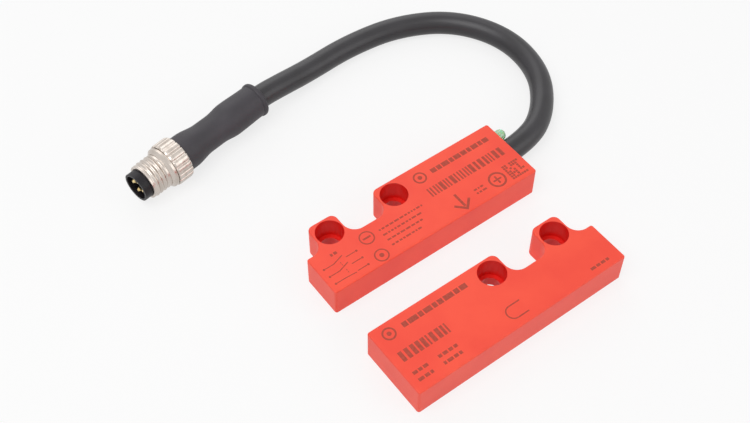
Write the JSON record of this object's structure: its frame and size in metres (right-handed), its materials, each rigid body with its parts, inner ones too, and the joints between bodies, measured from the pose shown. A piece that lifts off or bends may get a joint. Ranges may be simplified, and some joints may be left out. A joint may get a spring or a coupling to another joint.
{
  "type": "non-contact safety switch",
  "caption": "Coded magnetic safety switch: a slim moulded sensor block with two screw ears, a status lamp and a short cable to a round screw plug, with its matching magnet block.",
  "frame": {"origin": "midway between the sensor block's two screw holes, on the face that is screwed down", "axes": "+Z away from the mounting face, +X along the block to its cable end, +Y towards the screw ears"},
  "size_m": [0.0946, 0.0857, 0.0098],
  "materials": {
    "red_plastic": "satin moulded glass-filled plastic",
    "resin": "cast epoxy, slightly glossy",
    "board": "solder mask on glass-fibre laminate",
    "reed_glass": "clear drawn glass",
    "reed_metal": "plated nickel-iron wire",
    "chip_ceramic": "ceramic chip with tinned ends",
    "lamp_lens": "clear green lens",
    "wire_lead": "tinned wire",
    "core_insulation": "extruded insulation",
    "cable_jacket": "matte extruded jacket",
    "grip_rubber": "soft moulded grip",
    "carrier_plastic": "moulded contact carrier",
    "contact_gold": "gold-plated brass",
    "ring_nickel": "nickel-plated brass, turned and knurled",
    "magnet": "nickel-plated sintered magnet"
  },
  "bodies": {
    "switch_set": {"cable": "cable_jacket", "chip_resistor_1": "chip_ceramic", "chip_resistor_2": "chip_ceramic", "circuit_board": "board", "coding_magnet_1": "magnet", "coding_magnet_2": "magnet", "coding_magnet_3": "magnet", "contact_carrier": "carrier_plastic", "contact_pin_1": "contact_gold", "contact_pin_2": "contact_gold", "contact_pin_3": "contact_gold", "contact_pin_4": "contact_gold", "core_1": "core_insulation", "core_2": "core_insulation", "core_3": "core_insulation", "core_4": "core_insulation", "lamp_lead_1": "wire_lead", "lamp_lead_2": "wire_lead", "magnet_housing": "red_plastic", "magnet_potting": "resin", "plug_core_1": "core_insulation", "plug_core_2": "core_insulation", "plug_core_3": "core_insulation", "plug_core_4": "core_insulation", "plug_grip": "grip_rubber", "reed_1_blade_in": "reed_metal", "reed_1_blade_out": "reed_metal", "reed_1_glass": "reed_glass", "reed_2_blade_in": "reed_metal", "reed_2_blade_out": "reed_metal", "reed_2_glass": "reed_glass", "status_lamp": "lamp_lens", "switch_housing": "red_plastic", "switch_potting": "resin"},
    "plug_ring": {"coupling_ring": "ring_nickel"}
  },
  "joints": [
    {"name": "ring_spin", "type": "hinge", "parent": "switch_set", "child": "plug_ring", "pos_m": [-0.02522, 0.0358, 0.0049], "axis": [0.9836, 0.1805, 0], "continuous": true}
  ]
}
